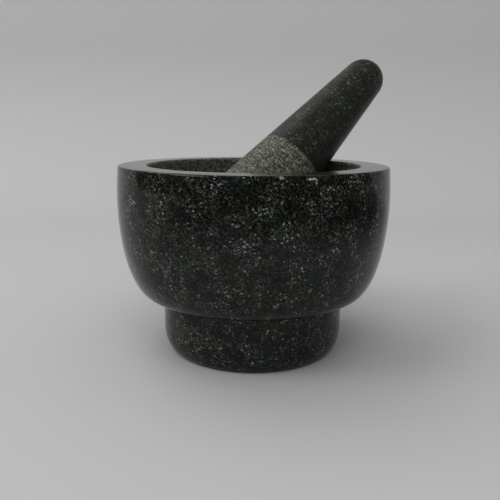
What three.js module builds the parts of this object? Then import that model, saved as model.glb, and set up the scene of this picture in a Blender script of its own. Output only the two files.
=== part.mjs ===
// A granite mortar on a plain round foot, with its pestle resting in the bowl.
// Millimetres, +Z up. The origin is the centre of the foot's flat underside.

import * as THREE from 'three';

// Mortar, outside
const mortarHeight = 105.8;
const bellyRadius = 76.2;
const bellyWidestZ = 87;          // the belly is widest here and curves in above and below
const bellyUndercut = 17;         // how far the belly rounds in towards the foot
const bellyBottomZ = 33.4;        // underside of the belly, where it meets the foot
const footRadius = 51.9;
const footEdgeWidth = 6.6;        // the foot's bottom edge is rounded off, taller than wide
const footEdgeHeight = 13;

// Mortar, rim and hollow
const rimOuterRadius = 75.4;
const rimEdgeRounding = 1.3;
const hollowRadius = 59;
const hollowStraight = 6;         // upright stretch of the wall below the rim
const hollowDepth = 71.2;

// Pestle
const pestleLength = 174;
const pestleHeadRadius = 25;
const pestleTipRadius = 13;
const pestleTaper = 0.097;        // radius lost per millimetre along the handle
const pestleSwellEnd = 60;        // the head's swell has run out into the handle here

// How the pestle leans: its axis crosses the rim's plane at this point
const leanCrossing = new THREE.Vector2(21.5, 23.5);
const leanBearing = THREE.MathUtils.degToRad(32.3);
const leanElevation = THREE.MathUtils.degToRad(41.4);
const leanDepth = 85.8;           // length of pestle below the crossing, along its axis

// Facets
const mortarSegments = 56;
const pestleSegments = 36;
const longArcSteps = 14;          // belly and hollow
const roundArcSteps = 8;          // the pestle's two ends
const footEdgeSteps = 5;
const rimEdgeSteps = 3;
const gentleCurveSteps = 4;

const quarterTurn = Math.PI / 2;

const polishedGranite = new THREE.MeshStandardMaterial({ color: 0x2b2d2c, roughness: 0.25, metalness: 0 });
const honedGranite = new THREE.MeshStandardMaterial({ color: 0x4a4c46, roughness: 0.6, metalness: 0 });

// Points of an elliptical arc in the (radius, height) plane, both ends included.
function arc(centreR, centreZ, radiusR, radiusZ, from, to, steps) {
  const points = [];
  for (let i = 0; i <= steps; i += 1) {
    const angle = from + (to - from) * i / steps;
    points.push(new THREE.Vector2(centreR + radiusR * Math.cos(angle), centreZ + radiusZ * Math.sin(angle)));
  }
  return points;
}

// A solid of revolution about +Z. The outline's first and last points are put exactly on the axis,
// and a point that repeats the one before it, where two curves join, is dropped.
function turned(outline, segments) {
  const samePoint = 1e-6;
  const distinct = outline.filter((point, i) => i === 0 || point.distanceTo(outline[i - 1]) > samePoint);
  distinct[0].x = 0;
  distinct.at(-1).x = 0;
  const geometry = new THREE.LatheGeometry(distinct, segments);
  geometry.rotateX(quarterTurn);
  return geometry;
}

function footOutline() {
  return [
    new THREE.Vector2(0, 0),
    ...arc(footRadius - footEdgeWidth, footEdgeHeight, footEdgeWidth, footEdgeHeight,
      -quarterTurn, 0, footEdgeSteps),
    new THREE.Vector2(footRadius, bellyBottomZ),
  ];
}

// One long quarter ellipse up to the widest point, then a shallow curve that draws in a little to the rim.
function bellyOutline() {
  const centre = bellyRadius - bellyUndercut;
  const rise = bellyWidestZ - bellyBottomZ;
  const shoulderZ = mortarHeight - rimEdgeRounding;
  const shoulder = new THREE.QuadraticBezierCurve(
    new THREE.Vector2(bellyRadius, bellyWidestZ),
    new THREE.Vector2(bellyRadius, (bellyWidestZ + shoulderZ) / 2),
    new THREE.Vector2(rimOuterRadius, shoulderZ));
  const belly = arc(centre, bellyWidestZ, bellyUndercut, rise, -quarterTurn, 0, longArcSteps);
  return [...belly, ...shoulder.getPoints(gentleCurveSteps)];
}

function rimOutline() {
  const edgeZ = mortarHeight - rimEdgeRounding;
  const outer = arc(rimOuterRadius - rimEdgeRounding, edgeZ, rimEdgeRounding, rimEdgeRounding,
    0, quarterTurn, rimEdgeSteps);
  const inner = arc(hollowRadius + rimEdgeRounding, edgeZ, rimEdgeRounding, rimEdgeRounding,
    quarterTurn, 2 * quarterTurn, rimEdgeSteps);
  return [...outer, ...inner];
}

function hollowOutline() {
  const wallEnd = mortarHeight - hollowStraight;
  return arc(0, wallEnd, hollowRadius, hollowDepth - hollowStraight, 0, -quarterTurn, longArcSteps);
}

function mortar() {
  const outline = [...footOutline(), ...bellyOutline(), ...rimOutline(), ...hollowOutline()];
  const mesh = new THREE.Mesh(turned(outline, mortarSegments), polishedGranite);
  mesh.name = 'mortar';
  return mesh;
}

// Head dome, swell into the tapered handle, and the handle's round tip. Height runs from head to tip.
function pestleOutline() {
  const tipCentre = pestleLength - pestleTipRadius;
  const slope = Math.atan(pestleTaper);
  const tipJoin = new THREE.Vector2(
    pestleTipRadius * Math.cos(slope), tipCentre + pestleTipRadius * Math.sin(slope));
  const handleRadius = (height) => tipJoin.x + pestleTaper * (tipJoin.y - height);
  const swellCorner = tipJoin.y - (pestleHeadRadius - tipJoin.x) / pestleTaper;
  const swell = new THREE.QuadraticBezierCurve(
    new THREE.Vector2(pestleHeadRadius, pestleHeadRadius),
    new THREE.Vector2(pestleHeadRadius, swellCorner),
    new THREE.Vector2(handleRadius(pestleSwellEnd), pestleSwellEnd));
  return [
    ...arc(0, pestleHeadRadius, pestleHeadRadius, pestleHeadRadius, -quarterTurn, 0, roundArcSteps),
    ...swell.getPoints(gentleCurveSteps),
    ...arc(0, tipCentre, pestleTipRadius, pestleTipRadius, slope, quarterTurn, roundArcSteps),
  ];
}

function pestle() {
  const mesh = new THREE.Mesh(turned(pestleOutline(), pestleSegments), honedGranite);
  mesh.name = 'pestle';
  const lean = new THREE.Vector3(
    Math.cos(leanElevation) * Math.cos(leanBearing),
    Math.cos(leanElevation) * Math.sin(leanBearing),
    Math.sin(leanElevation));
  mesh.quaternion.setFromUnitVectors(new THREE.Vector3(0, 0, 1), lean);
  mesh.position.set(leanCrossing.x, leanCrossing.y, mortarHeight);
  mesh.position.addScaledVector(lean, -leanDepth);
  return mesh;
}

const mortarAndPestle = new THREE.Group();
mortarAndPestle.add(mortar(), pestle());

export default mortarAndPestle;
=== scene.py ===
# %% Load the frame
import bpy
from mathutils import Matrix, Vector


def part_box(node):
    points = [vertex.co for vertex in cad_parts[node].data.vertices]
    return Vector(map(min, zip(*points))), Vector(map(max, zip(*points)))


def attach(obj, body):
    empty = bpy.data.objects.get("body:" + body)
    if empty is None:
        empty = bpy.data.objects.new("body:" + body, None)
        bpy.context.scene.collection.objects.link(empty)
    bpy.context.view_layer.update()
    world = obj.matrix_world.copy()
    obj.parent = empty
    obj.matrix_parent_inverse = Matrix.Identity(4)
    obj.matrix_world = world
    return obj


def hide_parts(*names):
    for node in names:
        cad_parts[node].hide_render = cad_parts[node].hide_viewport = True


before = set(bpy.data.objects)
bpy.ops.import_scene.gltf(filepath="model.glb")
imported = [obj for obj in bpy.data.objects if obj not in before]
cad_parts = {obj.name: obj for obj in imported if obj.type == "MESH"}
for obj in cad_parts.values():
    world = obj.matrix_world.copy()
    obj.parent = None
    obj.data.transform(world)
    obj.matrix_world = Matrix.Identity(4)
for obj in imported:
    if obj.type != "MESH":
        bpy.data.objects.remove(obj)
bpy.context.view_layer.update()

# %% [markdown]
# # A polished granite mortar and its pestle
#
# Two stones make this object. The mortar is turned and hollowed from one block: a round bowl
# on a plain round foot, polished outside and on the flat rim, ground dull inside. The pestle
# is a second turned stone. Its handle is polished, and its working half is left dull so that
# it grips what it crushes.
#
# The frame already holds both as plain faceted solids in their real places. This lesson reads
# their outlines back, turns them again as fine smooth surfaces, and then spends most of its
# effort on the stone itself.

# %% Tools and units
import math

import bmesh
import bpy
import numpy as np
from mathutils import Matrix, Vector, noise

MM = 0.001

# %% [markdown]
# ## Where the viewer stands
#
# The camera comes first, because every later choice of scale is judged through it. It stands
# a forearm's length in front of the bowl and a little above its rim, looking down gently. So
# close, the rim is seen almost edge on while the foot is seen well from above, which gives the
# bowl its weight.

# %% Camera
CAMERA_PLACE = Vector((-1.7, -327.4, 128.15)) * MM
CAMERA_PITCH = math.radians(12.43)
CAMERA_ROLL = math.radians(0.4)
CAMERA_LENS = 41.3


def make_camera():
    """A level camera is tipped down about X, then rolled about its own line of sight."""
    data = bpy.data.cameras.new("camera")
    data.lens = CAMERA_LENS
    camera = bpy.data.objects.new("camera", data)
    tip = Matrix.Rotation(math.pi / 2 - CAMERA_PITCH, 4, "X")
    roll = Matrix.Rotation(CAMERA_ROLL, 4, "Z")
    camera.matrix_world = Matrix.Translation(CAMERA_PLACE) @ tip @ roll
    bpy.context.scene.collection.objects.link(camera)
    bpy.context.scene.camera = camera
    return camera


print("camera at", [round(c, 3) for c in make_camera().matrix_world.translation])

# %% [markdown]
# ## Reading a turned outline
#
# Both stones are solids of revolution, so one outline says everything about each. The outline
# could be typed in again, but then it could drift from the solid that is kept for collision.
# Instead it is walked: from the lowest point on the axis, along mesh edges that stay in
# one half plane, until the axis is reached again. The mortar's walk goes out under the foot,
# up the belly, over the rim and down into the hollow.

# %% Radius and bearing
SAME_PLACE = 1e-6
SAME_ANGLE = 1e-3


def radius_of(point):
    return math.hypot(point.x, point.y)


def bearing_of(point):
    return math.atan2(point.y, point.x)


def same_half_plane(point, bearing):
    return abs(math.remainder(bearing_of(point) - bearing, 2 * math.pi)) < SAME_ANGLE


print("two points closer than", SAME_PLACE / MM, "mm count as one")

# %% Walk the outline
def upright_solid(node, upright):
    """A node's solid with whole corners, its axis turned onto +Z by the matrix upright."""
    solid = bmesh.new()
    solid.from_mesh(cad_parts[node].data)
    solid.transform(upright)
    bmesh.ops.remove_doubles(solid, verts=solid.verts, dist=SAME_PLACE)
    return solid


def walk_outline(node, upright):
    """The outline's points, (radius, height), from the lower pole to the upper one."""
    solid = upright_solid(node, upright)
    poles = [v for v in solid.verts if radius_of(v.co) < SAME_PLACE]
    here = min(poles, key=lambda v: v.co.z)
    seen = [here]
    here = here.link_edges[0].other_vert(here)
    bearing = bearing_of(here.co)
    while here not in poles:
        seen.append(here)
        around = [e.other_vert(here) for e in here.link_edges]
        onward = [v for v in around if v in poles or same_half_plane(v.co, bearing)]
        here = next(v for v in onward if v not in seen)
    outline = [Vector((radius_of(v.co), v.co.z)) for v in seen + [here]]
    solid.free()
    return outline


mortar_outline = walk_outline("mortar", Matrix.Identity(4))
print("mortar outline:", len(mortar_outline), "points")

# %% [markdown]
# ## How the pestle leans
#
# The pestle's axis isn't written anywhere in the frame, but its shape gives it away. The
# direction in which its corners spread furthest is the axis, which is what a singular value
# decomposition finds. The fat end is the working head. A matrix built from the two then
# carries the pestle between its own upright pose and its place in the bowl.

# %% Find the pestle's axis
SAME_DIGITS = 7


def corners(node):
    """Each corner of a node once, in metres."""
    points = np.array([v.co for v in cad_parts[node].data.vertices])
    return np.unique(points.round(SAME_DIGITS), axis=0)


def leaning_place(node):
    """The matrix that takes a stone standing upright on its head to where it leans."""
    points = corners(node)
    middle = points.mean(axis=0)
    axis = np.linalg.svd(points - middle, full_matrices=False)[2][0]
    height = (points - middle) @ axis
    spread = np.linalg.norm(points - middle - np.outer(height, axis), axis=1)
    if height[spread.argmax()] > 0:
        axis, height = -axis, -height
    foot = Vector(middle + axis * height.min())
    turn = Vector((0, 0, 1)).rotation_difference(Vector(axis)).to_matrix().to_4x4()
    return Matrix.Translation(foot) @ turn


# %% Walk the pestle's outline
pestle_place = leaning_place("pestle")
pestle_outline = walk_outline("pestle", pestle_place.inverted())
pestle_length = pestle_outline[-1].y
print("pestle:", len(pestle_outline), "points,", round(pestle_length / MM, 1), "mm long")

# %% [markdown]
# ## From corners to curves
#
# The outline has only a few corners on each curve. A stonecutter's lathe leaves smooth
# sweeps, so each stretch is replaced by a Hermite curve: at every corner it takes the
# direction of the circle through that corner and its two neighbours. Where one neighbour is
# several times further away than the other, the long side is a true straight, such as the
# flat rim, and the direction follows it. A turn sharper than a set angle is a real corner,
# the crease under the belly, and it gets a small fillet, because no abrasive cuts a perfectly
# sharp inside corner.

# %% Headings
STRAIGHT_RATIO = 3


def heading(before, here, after):
    """Unit direction of the outline where it passes through a corner."""
    back, ahead = here - before, after - here
    if back.length > STRAIGHT_RATIO * ahead.length:
        return back.normalized()
    if ahead.length > STRAIGHT_RATIO * back.length:
        return ahead.normalized()
    return (back.normalized() * ahead.length + ahead.normalized() * back.length).normalized()


def turn_at(before, here, after):
    """The angle by which the outline turns at a corner."""
    return (here - before).angle(after - here)


def corner_triples(points):
    """Every point but the first and last, between its two neighbours."""
    return zip(points, points[1:], points[2:])


sharpest = max(turn_at(*three) for three in corner_triples(mortar_outline))
print("the mortar's outline turns by up to", round(math.degrees(sharpest)), "degrees")

# %% Fillet the crease
CREASE_ANGLE = math.radians(50)
CREASE_FILLET = 3.0 * MM
FILLET_STEPS = 4


def fillet(points):
    """Cuts each crease back on both sides and bridges it with a parabola's points."""
    rounded = [points[0]]
    for before, here, after in corner_triples(points):
        if turn_at(before, here, after) < CREASE_ANGLE:
            rounded.append(here)
            continue
        start = here + (before - here).normalized() * CREASE_FILLET
        end = here + (after - here).normalized() * CREASE_FILLET
        for k in range(FILLET_STEPS + 1):
            t = k / FILLET_STEPS
            rounded.append(start * (1 - t) ** 2 + here * 2 * t * (1 - t) + end * t ** 2)
    return rounded + [points[-1]]


rounded_mortar = fillet(mortar_outline)
rounded_pestle = fillet(pestle_outline)
print("the fillet adds", len(rounded_mortar) - len(mortar_outline), "points to the mortar")

# %% Smooth the outline
STEP = 0.9 * MM
OUTWARDS = Vector((1, 0))


def hermite(a, b, heading_a, heading_b, t):
    """The point a share t of the way along a curve from a to b."""
    span = (b - a).length
    return (
        a * (2 * t ** 3 - 3 * t ** 2 + 1) + heading_a * (span * (t ** 3 - 2 * t ** 2 + t))
        + b * (3 * t ** 2 - 2 * t ** 3) + heading_b * (span * (t ** 3 - t ** 2)))


def smooth_outline(points):
    """The outline as a fine curve. It leaves the axis and comes back to it squarely."""
    headings = [OUTWARDS] + [heading(*three) for three in corner_triples(points)] + [-OUTWARDS]
    fine = []
    for a, b, heading_a, heading_b in zip(points, points[1:], headings, headings[1:]):
        count = max(1, math.ceil((b - a).length / STEP))
        fine += [hermite(a, b, heading_a, heading_b, k / count) for k in range(count)]
    return fine + [points[-1]]


fine_mortar = smooth_outline(rounded_mortar)
fine_pestle = smooth_outline(rounded_pestle)
print("fine outlines:", len(fine_mortar), "and", len(fine_pestle), "points")

# %% [markdown]
# ## Turning the stones
#
# Blender's spin does what the lathe does: it carries the outline round the axis and skins the
# steps. Hand finishing leaves even a polished stone a little uneven, by a tenth of a
# millimetre over a few centimetres. That is too small to see as a shape, but it is what makes
# a reflection swim slightly on real stone and not on glass. So each vertex is pressed in
# along its normal by a slow noise. It is only ever pressed in, so the stone stays inside the
# solid that it stands for, and the touching points keep their gap.

# %% Spin
ROUND_STEPS = 256


def spin(outline):
    """A closed round solid from its outline."""
    stone = bmesh.new()
    ring = [stone.verts.new((p.x, 0, p.y)) for p in outline]
    edges = [stone.edges.new(pair) for pair in zip(ring, ring[1:])]
    bmesh.ops.spin(
        stone, geom=ring + edges, cent=(0, 0, 0), axis=(0, 0, 1), dvec=(0, 0, 0),
        angle=2 * math.pi, steps=ROUND_STEPS, use_merge=True)
    bmesh.ops.remove_doubles(stone, verts=stone.verts, dist=SAME_PLACE)
    bmesh.ops.recalc_face_normals(stone, faces=stone.faces)
    return stone


print("each stone is spun in", ROUND_STEPS, "steps")

# %% Press the surface in
WAVER_DEPTH = 0.14 * MM
WAVER_LENGTH = 24 * MM


def press_in(stone, seed):
    """Sinks every point by 0 to WAVER_DEPTH. Each seed gives another unevenness."""
    stone.normal_update()
    shift = Vector((seed, 0, 0))
    for vert in stone.verts:
        press = 0.5 + 0.5 * noise.noise(vert.co / WAVER_LENGTH + shift)
        vert.co -= vert.normal * WAVER_DEPTH * min(1, max(0, press))


def turn_stone(name, outline, place, seed):
    """A finished stone, turned upright and then carried to its place."""
    stone = spin(outline)
    press_in(stone, seed)
    for face in stone.faces:
        face.smooth = True
    stone.transform(place)
    mesh = bpy.data.meshes.new(name)
    stone.to_mesh(mesh)
    stone.free()
    piece = bpy.data.objects.new(name, mesh)
    bpy.context.scene.collection.objects.link(piece)
    print(name, "has", len(mesh.polygons), "faces")
    return piece


mortar = turn_stone("mortar_stone", fine_mortar, Matrix.Identity(4), seed=0)
pestle = turn_stone("pestle_stone", fine_pestle, pestle_place, seed=7)

# %% [markdown]
# ## Sums on sockets
#
# A stone's colour is easier to write as arithmetic than to draw as boxes and wires. `Wire`
# holds one output socket of a node tree. Adding, subtracting and multiplying wires adds Math
# nodes, from either side, so `1 - mask` works. Colours never go through Math nodes, which
# would turn them grey: they are blended by a Mix node. Every other node comes from `add`,
# which takes the node's type, then its settings, then what goes into its sockets.

# %% The Wire class
class Wire:
    """One socket of a node tree that Python can do sums with."""

    def __init__(self, tree, socket=None):
        self.tree = tree
        self.socket = socket

    def add(self, kind, settings=None, inputs=None, output=0):
        """A new node: its settings first, then values or wires for its sockets."""
        node = self.tree.nodes.new(kind)
        for key, value in (settings or {}).items():
            setattr(node, key, value)
        for key, value in (inputs or {}).items():
            if isinstance(value, Wire):
                self.tree.links.new(value.socket, node.inputs[key])
            else:
                node.inputs[key].default_value = value
        return Wire(self.tree, node.outputs[output])

    def math(self, operation, first, second=0.0):
        return self.add("ShaderNodeMath", {"operation": operation}, {0: first, 1: second})

    def __add__(self, other):
        return self.math("ADD", self, other)

    def __sub__(self, other):
        return self.math("SUBTRACT", self, other)

    def __rsub__(self, other):
        return self.math("SUBTRACT", other, self)

    def __mul__(self, other):
        return self.math("MULTIPLY", self, other)

    def __pow__(self, other):
        return self.math("POWER", self, other)

    def __rpow__(self, other):
        return self.math("POWER", other, self)

    __radd__ = __add__
    __rmul__ = __mul__

    def either(self, other):
        """The larger of two masks."""
        return self.math("MAXIMUM", self, other)

    def rise(self, low, high):
        """0 below low, 1 above high, and an S curve between them. low may be the larger."""
        return self.add(
            "ShaderNodeMapRange", {"interpolation_type": "SMOOTHSTEP"},
            {"Value": self, "From Min": low, "From Max": high})

    def mix(self, share, first, second):
        colours = {0: share, 6: first, 7: second}
        return self.add("ShaderNodeMix", {"data_type": "RGBA"}, colours, output=2)

    def blend(self, first, second):
        """first where this mask is 0 and second where it is 1, for colours."""
        return self.mix(self, first, second)

    def faded(self, share, other):
        """This colour, with a fixed share of another in it."""
        return self.mix(share, self, other)

    def vector(self, operation, other=(0, 0, 0), output=0):
        """One step of vector maths. Where it gives a number, output is "Value"."""
        settings = {"operation": operation}
        return self.add("ShaderNodeVectorMath", settings, {0: self, 1: other}, output)

    def scaled(self, factors):
        return self.vector("MULTIPLY", factors)

    def moved(self, offset):
        return self.vector("ADD", offset)

    def along(self, direction):
        return self.vector("DOT_PRODUCT", direction, output="Value")

    def length(self):
        return self.vector("LENGTH", output="Value")


print("Wire does", [name for name in vars(Wire) if not name.startswith("_")])

# %% Masks from soft noise
NEAR_FULL = 0.7
NEAR_END = 1.4


def near(value, middle, reach):
    """A mask: 1 within NEAR_FULL of reach from the middle, 0 past NEAR_END of it."""
    away = value.math("ABSOLUTE", value - middle)
    return away.rise(reach * NEAR_END, reach * NEAR_FULL)


def noise_at(place, size, detail=2.0):
    """Soft noise between 0 and 1 whose lumps are about size across."""
    return place.add(
        "ShaderNodeTexNoise", None, {"Vector": place, "Scale": 1 / size, "Detail": detail})


def wander(place, size, reach):
    """Noise that strays about half of reach to either side of 0."""
    return (noise_at(place, size) - 0.5) * reach


print("masks come from rise and near, and their raggedness from noise_at and wander")

# %% [markdown]
# ## What the stone is made of
#
# Dark granite is a solid mosaic of interlocking crystals, most of them about a millimetre
# across. Up close it shows these things, each at its own scale:
#
# - near-black crystals, which swallow light, with dim grey ones wedged between them;
# - narrow pale laths of feldspar, half a millimetre wide and two or three times as long;
# - a few brighter crystals that catch the eye;
# - drifts one or two centimetres across, where the pale crystals crowd together or thin out;
# - faint green, brown and blue casts that drift just as slowly.
#
# A Voronoi texture is such a mosaic: it cuts space into cells and gives each cell a random
# number. Its cells are smooth polyhedra, so the place is first shaken by a finer noise, which
# makes every border ragged, and squeezed along a turned axis, which makes laths. The laths lie
# two ways, so they are two mosaics. Everything is worked out from the place in the stone in
# millimetres, so the grain runs from the belly over the rim as it does in a cut block. A
# flat pattern wrapped round the bowl would stretch there and show a seam.

# %% Crystals
SHAKE_FINENESS = 1.3
SHAKE_REACH = 0.9
SHAKE_DETAIL = 2.0


def crystals(place, size, squeeze=1.0, lean=(0, 0, 0), seed=0):
    """A random number between 0 and 1 for every crystal of one mosaic."""
    shake = place.add(
        "ShaderNodeTexNoise", None,
        {"Vector": place, "Scale": SHAKE_FINENESS / size, "Detail": SHAKE_DETAIL}, output="Color")
    reach = SHAKE_REACH * size
    ragged = place.moved(shake.moved((-0.5, -0.5, -0.5)).scaled((reach, reach, reach)))
    leaning = place.add(
        "ShaderNodeVectorRotate", {"rotation_type": "EULER_XYZ"},
        {"Vector": ragged, "Center": (seed, seed, seed), "Rotation": lean})
    cells = leaning.scaled((squeeze / size, squeeze / size, 1 / (squeeze * size)))
    colour = place.add("ShaderNodeTexVoronoi", None, {"Vector": cells, "Scale": 1.0}, output="Color")
    return place.add("ShaderNodeSeparateColor", None, {0: colour})


print("a border strays by up to", SHAKE_REACH / 2, "of a crystal's size")

# %% The four mosaics, in millimetres
GREY_GRAINS = {"size": 0.65, "seed": 3}
LATHS = {"size": 0.80, "squeeze": 1.6, "lean": (0.5, 0.2, 0), "seed": 17}
CROSS_LATHS = {"size": 0.90, "squeeze": 1.7, "lean": (1.2, 0.9, 0), "seed": 41}
BRIGHT_GRAINS = {"size": 0.85, "squeeze": 1.2, "lean": (0.3, 1.3, 0), "seed": 29}
GREY_POWER = 3.0
LATHS_FROM = 0.62
CROSS_LATHS_FROM = 0.66
BRIGHT_FROM = 0.91


def mosaics(place):
    """Masks of the grey grains, the laths both ways, and the bright grains."""
    grey = crystals(place, **GREY_GRAINS) ** GREY_POWER
    laths = crystals(place, **LATHS).rise(LATHS_FROM, 1)
    cross = crystals(place, **CROSS_LATHS).rise(CROSS_LATHS_FROM, 1)
    bright = crystals(place, **BRIGHT_GRAINS).rise(BRIGHT_FROM, 1)
    return grey, laths, cross, bright


print("laths are", LATHS["size"] / LATHS["squeeze"], "mm wide")

# %% [markdown]
# ## The polished look
#
# The same stone has two finishes. A polish fills every pit with reflection, so light goes
# into the dark crystals and hardly comes back: the stone looks black and wet. Black and grey
# grains come first, tinted by the slow casts. The pale laths and the bright grains then lie
# over them, strongly where the laths crowd together and faintly where they thin out.
#
# Hands leave a thin greyish film on a polish, most of all on a handle. It could be a coat on
# top, but a film this thin only lifts the darkest colours, so a share of its colour is mixed
# in instead.

# %% Slow casts
GREEN_CAST = (0.006, 0.016, 0.010, 1)
BROWN_CAST = (0.018, 0.013, 0.009, 1)
BLUE_CAST = (0.007, 0.010, 0.013, 1)
CAST_EDGES = (0.52, 0.70)
CAST_STRENGTH = 0.6


def cast(ground, colour, place, shift, size):
    """Tints the ground with a colour where a slow noise is high."""
    patch = noise_at(place.moved(shift), size, detail=1.0).rise(*CAST_EDGES)
    return (patch * CAST_STRENGTH).blend(ground, colour)


def with_casts(ground, place):
    """The ground with its three casts. Each has its own shift, so they drift apart."""
    ground = cast(ground, GREEN_CAST, place, shift=(0, 0, 0), size=15)
    ground = cast(ground, BROWN_CAST, place, shift=(40, 0, 9), size=17)
    return cast(ground, BLUE_CAST, place, shift=(0, 70, 5), size=14)


print("where a cast is fullest, its share of the ground is", CAST_STRENGTH)

# %% The polished colour
BLACK = (0.0014, 0.0019, 0.0014, 1)
GREY = (0.015, 0.0175, 0.0140, 1)
LATH = (0.088, 0.094, 0.082, 1)
BRIGHT = (0.42, 0.43, 0.40, 1)
FILM = (0.070, 0.076, 0.061, 1)
CROWD_SIZE = 8
CROWD_EDGES = (0.36, 0.66)


def crowded(mask, crowding, thin, gain):
    """A mask at a share thin where crystals are few, and thin + gain where they crowd."""
    return mask * (thin + gain * crowding)


def polished_colour(place, grains, film):
    """The wet, dark look. film is the share of the handling film in it."""
    grey, laths, cross, bright = grains
    crowding = noise_at(place, CROWD_SIZE, detail=3.0).rise(*CROWD_EDGES)
    colour = with_casts(grey.blend(BLACK, GREY), place)
    colour = crowded(laths, crowding, thin=0.30, gain=0.62).blend(colour, LATH)
    colour = crowded(cross, crowding, thin=0.25, gain=0.67).blend(colour, LATH)
    colour = crowded(bright, crowding, thin=0.12, gain=0.60).blend(colour, BRIGHT)
    return colour.faded(film, FILM)


print("in the polish a lath is", round(LATH[1] / BLACK[1]), "times as bright as a black grain")

# %% [markdown]
# ## The honed look
#
# Honing stops at a fine grit, and the scratched surface scatters light before it can sink in:
# the stone looks grey-green and dry. Its crystals are the same ones in paler colours, so the
# grain carries on across the line where the polish stops. The tool also leaves faint rings
# round the stone, darker and uneven, which come from a noise that only height changes.

# %% The honed colour
DRY_BLACK = (0.040, 0.042, 0.031, 1)
DRY_GREY = (0.175, 0.180, 0.150, 1)
DRY_LATH = (0.350, 0.355, 0.305, 1)
DRY_BRIGHT = (0.52, 0.52, 0.46, 1)
DRY_SHARE = 0.8
RING = (0.060, 0.052, 0.038, 1)
RING_SIZE = 1.1
RING_EDGES = (0.42, 0.62)
RING_STRENGTH = 0.5
RING_STRAY = 2.0
RING_STRAY_SIZE = 18


def lathe_rings(place, height):
    """Uneven rings round the stone, which stray up and down a little."""
    straying = height + noise_at(place, RING_STRAY_SIZE) * RING_STRAY
    ring = place.add(
        "ShaderNodeTexNoise", {"noise_dimensions": "1D"},
        {"W": straying, "Scale": 1 / RING_SIZE, "Detail": 2.0})
    return ring.rise(*RING_EDGES)


def honed_colour(place, height, grains):
    """The dry, pale look."""
    grey, laths, cross, bright = grains
    colour = grey.blend(DRY_BLACK, DRY_GREY)
    colour = (laths * DRY_SHARE).blend(colour, DRY_LATH)
    colour = (cross * DRY_SHARE).blend(colour, DRY_LATH)
    colour = (bright * DRY_SHARE).blend(colour, DRY_BRIGHT)
    return (lathe_rings(place, height) * RING_STRENGTH).blend(colour, RING)


print("honed, a lath is only", round(DRY_LATH[1] / DRY_BLACK[1]), "times as bright as a black grain")

# %% [markdown]
# ## One granite for both stones
#
# The two looks could be two materials on two sets of faces, but then the line between them
# would be a jagged row of face edges. One material with a mask, `honed`, can put the line
# anywhere and soften it. The mask also steers the roughness and lets a fine grit into the
# surface normal. `block` moves the grain, because the two stones were cut from different
# places.

# %% Granite
STONE_IOR = 1.54
STONE_GLOSS = 0.28
HONED_ROUGHNESS = 0.55
GRIT_SIZE = 0.35
GRIT_DEPTH = 0.12 * MM
GRIT_STRENGTH = 0.5
# White for the knock on the rim: it paints the chip's crushed crystals together with a glint of
# light off its facet.
CRUSHED_GLINT = (0.80, 0.80, 0.77, 1)
TO_MILLIMETRES = (1 / MM, 1 / MM, 1 / MM)


def granite(name, block, height_of, honed_from, polish_roughness, film, chip_glint_from=None):
    """A stone material. honed_from and chip_glint_from make masks from a place and its height."""
    material = bpy.data.materials.new(name)
    material.use_nodes = True
    tree = material.node_tree
    shader = tree.nodes["Principled BSDF"]
    shader.inputs["IOR"].default_value = STONE_IOR
    shader.inputs["Specular IOR Level"].default_value = STONE_GLOSS
    start = Wire(tree)
    place = start.add("ShaderNodeTexCoord", output="Object").scaled(TO_MILLIMETRES)
    height = height_of(place)
    honed = honed_from(place, height)
    grain_place = place.moved(block)
    grains = mosaics(grain_place)
    wet = polished_colour(grain_place, grains, film)
    dry = honed_colour(grain_place, height, grains)
    colour = honed.blend(wet, dry)
    # The knock's mask lays on white that paints both the chip's crushed crystals and a glint of
    # light off it.
    if chip_glint_from:
        colour = chip_glint_from(place, height).blend(colour, CRUSHED_GLINT)
    grit = honed * noise_at(grain_place, GRIT_SIZE)
    bump = start.add(
        "ShaderNodeBump", None,
        {"Strength": GRIT_STRENGTH, "Distance": GRIT_DEPTH, "Height": grit}, output="Normal")
    roughness = polish_roughness + honed * (HONED_ROUGHNESS - polish_roughness)
    tree.links.new(colour.socket, shader.inputs["Base Color"])
    tree.links.new(roughness.socket, shader.inputs["Roughness"])
    tree.links.new(bump.socket, shader.inputs["Normal"])
    print(name, "has", len(tree.nodes), "nodes")
    return material


# %% [markdown]
# ## Where each finish lies
#
# On the mortar the dull finish is the hollow and the sawn underside of the foot. The hollow
# is everything nearer the axis than the rim's inner edge and above a cone that opens upwards
# below its floor. A flat limit at the floor's height would catch the belly's underside too.
# On the pestle the dull finish is the lower half. The polish stops at a line that a hand
# held, so a slow noise moves it by up to a millimetre.

# %% Measures of the two stones, in millimetres
mortar_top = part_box("mortar")[1].z
rim_points = [p for p in mortar_outline if p.y > mortar_top - SAME_PLACE]
rim_inner = min(p.x for p in rim_points) / MM
hollow_floor = mortar_outline[-1].y / MM
pestle_half = pestle_length / MM / 2
pestle_foot = pestle_place.translation / MM
pestle_axis = pestle_place.to_3x3() @ Vector((0, 0, 1))
print("rim's inner edge", round(rim_inner, 1), "mm from the axis")
print("hollow's floor", round(hollow_floor, 1), "mm up, half of the pestle", round(pestle_half, 1))

# %% Finish masks
HOLLOW_EDGE = 0.1
HOLLOW_FULL = -1.6
CONE_SLOPE = 0.5
CONE_DROP = 12
CONE_BLEND = 1
SAWN_TOP = 0.6
SAWN_FULL = 0.2
LINE_BLEND = 0.5
LINE_STRAY = 1.6
LINE_STRAY_SIZE = 9


def mortar_height(place):
    return place.along((0, 0, 1))


def mortar_honed(place, height):
    radius = place.scaled((1, 1, 0)).length()
    cone_start = hollow_floor - CONE_DROP
    above_cone = (height - radius * CONE_SLOPE).rise(cone_start, cone_start + CONE_BLEND)
    hollow = radius.rise(rim_inner + HOLLOW_EDGE, rim_inner + HOLLOW_FULL) * above_cone
    return hollow.either(height.rise(SAWN_TOP, SAWN_FULL))


def pestle_height(place):
    return place.moved(-pestle_foot).along(pestle_axis)


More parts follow.
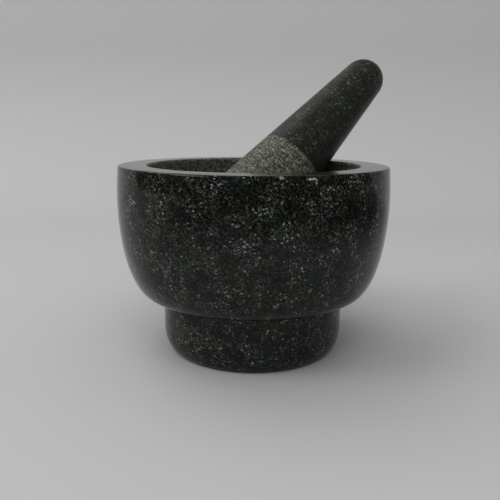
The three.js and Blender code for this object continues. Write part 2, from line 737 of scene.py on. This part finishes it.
def pestle_honed(place, height):
    straying = height + wander(place, LINE_STRAY_SIZE, LINE_STRAY)
    return straying.rise(pestle_half + LINE_BLEND, pestle_half - LINE_BLEND)


print("the polish ends about", round(pestle_half), "mm up the pestle")

# %% [markdown]
# ## A knock on the rim, with a painted glint
#
# The mortar has been knocked once, just under its rim in front, to the right. Its mark is
# painted white, for the crushed crystals and for a glint of light off the chip's facet alike,
# in a short dash along the rim with a shorter tail at its right end. A chip this shallow could
# be cut into the mesh, but only its colour shows, so it is a mask like the others: two small
# boxes with wandering edges, broken up into crumbs.

# %% Knock and its painted glint, in millimetres
CHIP_GLINT_ACROSS = 25.8
CHIP_GLINT_DROP = 1.7
CHIP_GLINT_LENGTH = 4.0
CHIP_GLINT_WIDTH = 0.6
TAIL_ACROSS = CHIP_GLINT_ACROSS + CHIP_GLINT_LENGTH / 2
TAIL_DROP = CHIP_GLINT_DROP + CHIP_GLINT_LENGTH / 3
TAIL_STRENGTH = 0.5
CRUMB_SIZE = 0.5
CRUMB_EDGES = (0.30, 0.62)
OTHER_NOISE = (0, 0, 30)
FRONT_BLEND = 1


# Mask of the knock, where white paints crushed crystals and a glint of light off the chip.
def mortar_chip_glint(place, height):
    across = place.along((1, 0, 0)) + wander(place, size=0.9, reach=1.6)
    drop = mortar_top / MM - height + wander(place.moved(OTHER_NOISE), size=0.8, reach=1.4)
    dash = near(across, CHIP_GLINT_ACROSS, CHIP_GLINT_LENGTH / 2) * near(drop, CHIP_GLINT_DROP, CHIP_GLINT_WIDTH / 2)
    tail = near(across, TAIL_ACROSS, CHIP_GLINT_WIDTH / 2) * near(drop, TAIL_DROP, CHIP_GLINT_LENGTH / 3)
    front = place.along((0, -1, 0)).rise(rim_inner - FRONT_BLEND, rim_inner)
    crumbs = noise_at(place, CRUMB_SIZE).rise(*CRUMB_EDGES)
    return dash.either(tail * TAIL_STRENGTH) * front * crumbs


print("the knock is", CHIP_GLINT_LENGTH, "mm long,", CHIP_GLINT_DROP, "mm under the rim")

# %% The two granites
mortar.data.materials.append(granite(
    "mortar_granite", block=(0, 0, 0), height_of=mortar_height, honed_from=mortar_honed,
    polish_roughness=0.12, film=0.036, chip_glint_from=mortar_chip_glint))
pestle.data.materials.append(granite(
    "pestle_granite", block=(300, 0, 0), height_of=pestle_height, honed_from=pestle_honed,
    polish_roughness=0.38, film=0.33))

# %% [markdown]
# ## Joining the frame
#
# The fine stones now take the places of the plain solids. Each rides on its own body, so the
# pestle lifts out of the bowl when the joint moves, and the solids stay behind the scenes for
# collision.

# %% Ride and replace
for piece, node in ((mortar, "mortar"), (pestle, "pestle")):
    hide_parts(node)
    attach(piece, node)

# %% [markdown]
# ## A pale sweep
#
# The set is a sheet of pale card that lies flat under the bowl and curves up behind it. One
# continuous surface has no horizon, and the curve gives the polished rim something bright to
# mirror.

# %% Floor and sweep
SWEEP_FRONT = -1.5
SWEEP_START = 0.42
SWEEP_RADIUS = 0.25
SWEEP_TOP = 0.8
SWEEP_HALF_WIDTH = 2.0
SWEEP_BENDS = 24


def sweep_line():
    """The card's side view: flat, a quarter circle, then straight up."""
    line = [(SWEEP_FRONT, 0.0)]
    for k in range(SWEEP_BENDS + 1):
        angle = math.pi / 2 * k / SWEEP_BENDS
        out = SWEEP_START + SWEEP_RADIUS * math.sin(angle)
        line.append((out, SWEEP_RADIUS * (1 - math.cos(angle))))
    return line + [(SWEEP_START + SWEEP_RADIUS, SWEEP_TOP)]


def stage_piece(name, solid):
    """Puts a bmesh into the scene as part of the set, not of the object."""
    mesh = bpy.data.meshes.new(name)
    solid.to_mesh(mesh)
    solid.free()
    piece = bpy.data.objects.new(name, mesh)
    bpy.context.scene.collection.objects.link(piece)
    return piece


def make_sweep():
    card = bmesh.new()
    line = sweep_line()
    left = [card.verts.new((-SWEEP_HALF_WIDTH, y, z)) for y, z in line]
    right = [card.verts.new((SWEEP_HALF_WIDTH, y, z)) for y, z in line]
    for corners_of_strip in zip(left, right, right[1:], left[1:]):
        card.faces.new(corners_of_strip).smooth = True
    return stage_piece("sweep", card)


# %% Pale card
CARD = (0.62, 0.625, 0.625, 1)
CARD_ROUGHNESS = 0.7


def card_material():
    material = bpy.data.materials.new("pale_card")
    material.use_nodes = True
    shader = material.node_tree.nodes["Principled BSDF"]
    shader.inputs["Base Color"].default_value = CARD
    shader.inputs["Roughness"].default_value = CARD_ROUGHNESS
    return material


make_sweep().data.materials.append(card_material())
print("the sweep curves up", SWEEP_START, "m behind the bowl's axis")

# %% [markdown]
# ## A black flag
#
# A polished upright wall mirrors the ground in front of it. Near the foot that should be the
# pale card, which lays a soft haze over the lower stone. Further out a lighting hand lays a
# black cloth, a flag, so that the belly mirrors darkness and stays deep. A crisp edge would
# show in the polish as a line, so the cloth thins away towards the bowl and towards the left,
# which is a Mix Shader between the cloth and nothing at all. Only mirrored rays can see the
# flag, so it casts no shade and never shows in a view from the side.

# %% Flag
FLAG_REACH = 1.4
FLAG_LIFT = 0.002


def make_flag():
    """A square cloth just above the card, for mirrored rays alone."""
    cloth = bmesh.new()
    ends = ((-1, -1), (1, -1), (1, 1), (-1, 1))
    cloth.faces.new([cloth.verts.new((x * FLAG_REACH, y * FLAG_REACH, FLAG_LIFT)) for x, y in ends])
    flag = stage_piece("flag", cloth)
    flag.visible_camera = False
    flag.visible_diffuse = False
    flag.visible_shadow = False
    return flag


# %% Cloth that thins away
CLOTH_BLACK = (0.04, 0.04, 0.04, 1)
CLOTH_ROUGHNESS = 0.9
CLOTH_BEARING = math.radians(25)
CLOTH_SIDES = (-0.45, 0.35)
CLOTH_DISTANCES = (0.16, 0.52)


def cloth_material():
    """Black cloth, thickest far out towards CLOTH_BEARING, to the right of the front."""
    material = bpy.data.materials.new("black_cloth")
    material.use_nodes = True
    tree = material.node_tree
    shader = tree.nodes["Principled BSDF"]
    shader.inputs["Base Color"].default_value = CLOTH_BLACK
    shader.inputs["Roughness"].default_value = CLOTH_ROUGHNESS
    start = Wire(tree)
    place = start.add("ShaderNodeTexCoord", output="Object")
    bearing = (math.sin(CLOTH_BEARING), -math.cos(CLOTH_BEARING), 0)
    side = place.vector("NORMALIZE").along(bearing).rise(*CLOTH_SIDES)
    thickness = place.length().rise(*CLOTH_DISTANCES) * side
    nothing = start.add("ShaderNodeBsdfTransparent")
    cloth = Wire(tree, shader.outputs[0])
    mixed = start.add("ShaderNodeMixShader", None, {0: thickness, 1: nothing, 2: cloth})
    tree.links.new(mixed.socket, tree.nodes["Material Output"].inputs["Surface"])
    return material


make_flag().data.materials.append(cloth_material())
print("the flag is thickest from", CLOTH_DISTANCES[1], "m outwards")

# %% [markdown]
# ## Soft light
#
# Three large soft lamps and pale surroundings light the set. The key lamp stands high on the
# left and a little in front, which puts the soft shadow on the right. The back lamp stands
# behind on the left, where the pestle's handle mirrors it as a broad sheen. The front lamp
# fills the shade under the belly, and hides from mirrored rays, so that it leaves no spot on
# the rim. Polished stone mirrors its surroundings too, and bright ones would lay a grey haze
# over the black, so mirrored rays meet a dark cloth there instead of the pale surroundings.

# %% Lamps
LAMP_SIZE = 1.6
COOL = (0.97, 0.995, 1.0)
WARM = (1.0, 0.985, 0.96)


def make_lamp(name, place, power, colour):
    """A soft round lamp that faces the bowl."""
    data = bpy.data.lights.new(name, "AREA")
    data.shape = "DISK"
    data.size = LAMP_SIZE
    data.energy = power
    data.color = colour
    lamp = bpy.data.objects.new(name, data)
    lamp.location = place
    lamp.rotation_mode = "QUATERNION"
    lamp.rotation_quaternion = (-place).to_track_quat("-Z", "Y")
    bpy.context.scene.collection.objects.link(lamp)
    print(name, "of", power, "W stands", round(place.length, 2), "m away")
    return lamp


make_lamp("key_lamp", place=Vector((-2.2, -1.0, 2.4)), power=18.0, colour=COOL)
make_lamp("back_lamp", place=Vector((-0.9, 0.6, 1.8)), power=6.5, colour=WARM)
front_lamp = make_lamp("front_lamp", place=Vector((0.0, -1.3, 1.8)), power=7.8, colour=WARM)
front_lamp.visible_glossy = False

# %% Surroundings
SURROUND = (0.392, 0.394, 0.392, 1)
DARK_CLOTH = (0.05, 0.051, 0.051, 1)


def make_surround():
    """Pale all round for every ray but a mirrored one, which meets the dark cloth."""
    world = bpy.data.worlds.new("surround")
    world.use_nodes = True
    start = Wire(world.node_tree)
    mirrored = start.add("ShaderNodeLightPath", output="Is Glossy Ray")
    colour = mirrored.blend(SURROUND, DARK_CLOTH)
    background = world.node_tree.nodes["Background"]
    world.node_tree.links.new(colour.socket, background.inputs["Color"])
    bpy.context.scene.world = world


make_surround()
view = bpy.context.scene.view_settings
view.view_transform = "Standard"
view.look = "Medium High Contrast"
print("view:", view.view_transform, "with", view.look)
